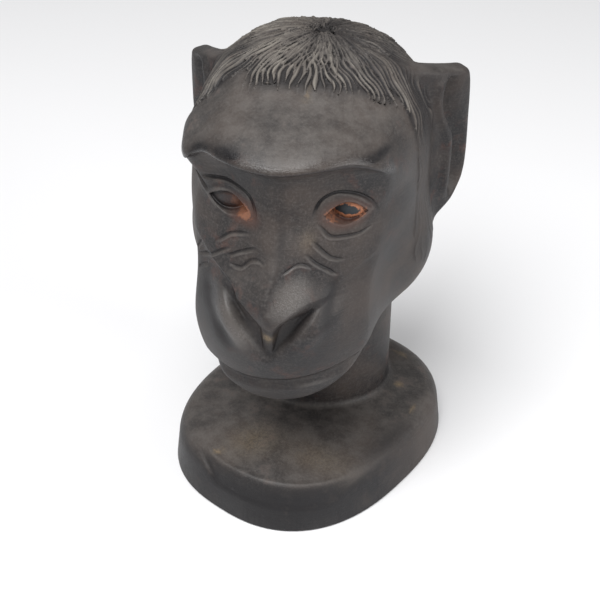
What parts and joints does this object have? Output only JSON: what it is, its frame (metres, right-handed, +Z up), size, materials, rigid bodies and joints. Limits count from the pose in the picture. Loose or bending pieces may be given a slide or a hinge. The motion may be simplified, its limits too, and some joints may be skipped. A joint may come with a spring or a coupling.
{
  "type": "bust",
  "caption": "Ape-head bust carved from one block of dark wood, with a cropped cap of hair, painted eyes and a rounded oval plinth of its own.",
  "frame": {"origin": "on the flat underside of the plinth, in the plane between the eyes", "axes": "+Z up, the face looks towards -Y, +X is the viewer's right"},
  "size_m": [0.1012, 0.1162, 0.1709],
  "materials": {
    "dark_wood": "oiled near-black wood, polished on the face and duller on the plinth"
  },
  "bodies": {
    "root": {"bust": "dark_wood"}
  },
  "joints": []
}
